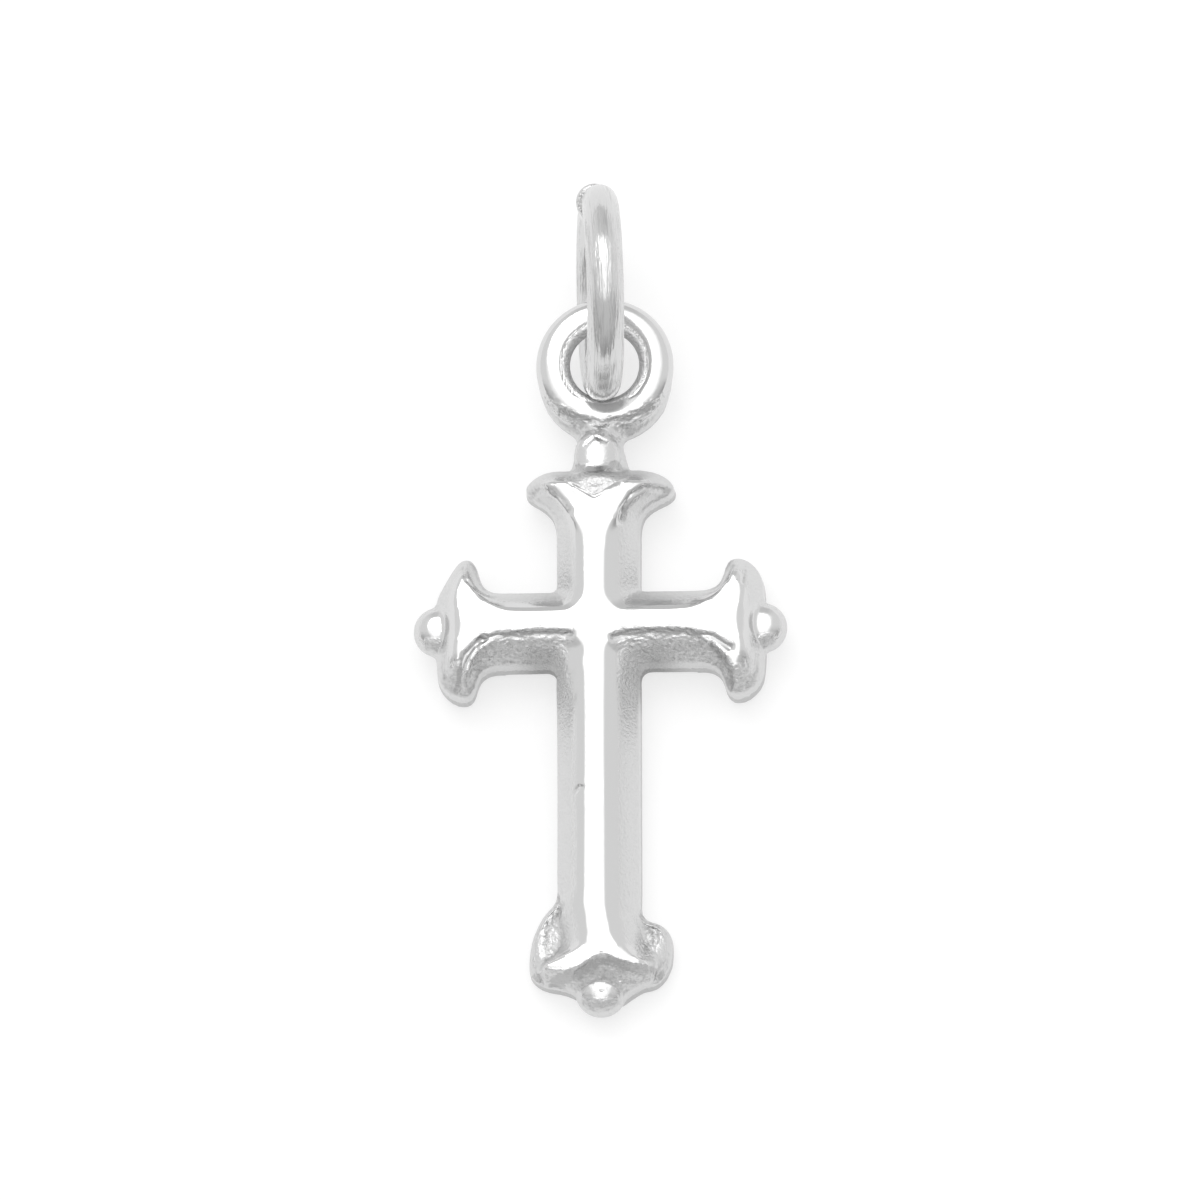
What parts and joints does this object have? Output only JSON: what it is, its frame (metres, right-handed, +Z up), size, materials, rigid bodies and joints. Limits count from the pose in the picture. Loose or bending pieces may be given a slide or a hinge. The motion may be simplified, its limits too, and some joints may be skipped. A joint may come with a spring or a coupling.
{
  "type": "cross charm",
  "caption": "Cast silver cross charm with horned arm ends, a bead on each end and a round eye that hangs from a plain jump ring.",
  "frame": {"origin": "middle of the footprint, on the surface the charm lies on", "axes": "+Y from the foot of the cross to its head, +Z up out of its front, +X to the right as seen from the front"},
  "size_m": [0.0086, 0.0192, 0.005],
  "materials": {
    "cast_silver": "silver, polished on the crests, with tumbled casting skin in the recesses",
    "silver_wire": "silver, polished drawn wire"
  },
  "bodies": {
    "root": {"cross": "cast_silver", "jump_ring": "silver_wire"}
  },
  "joints": []
}
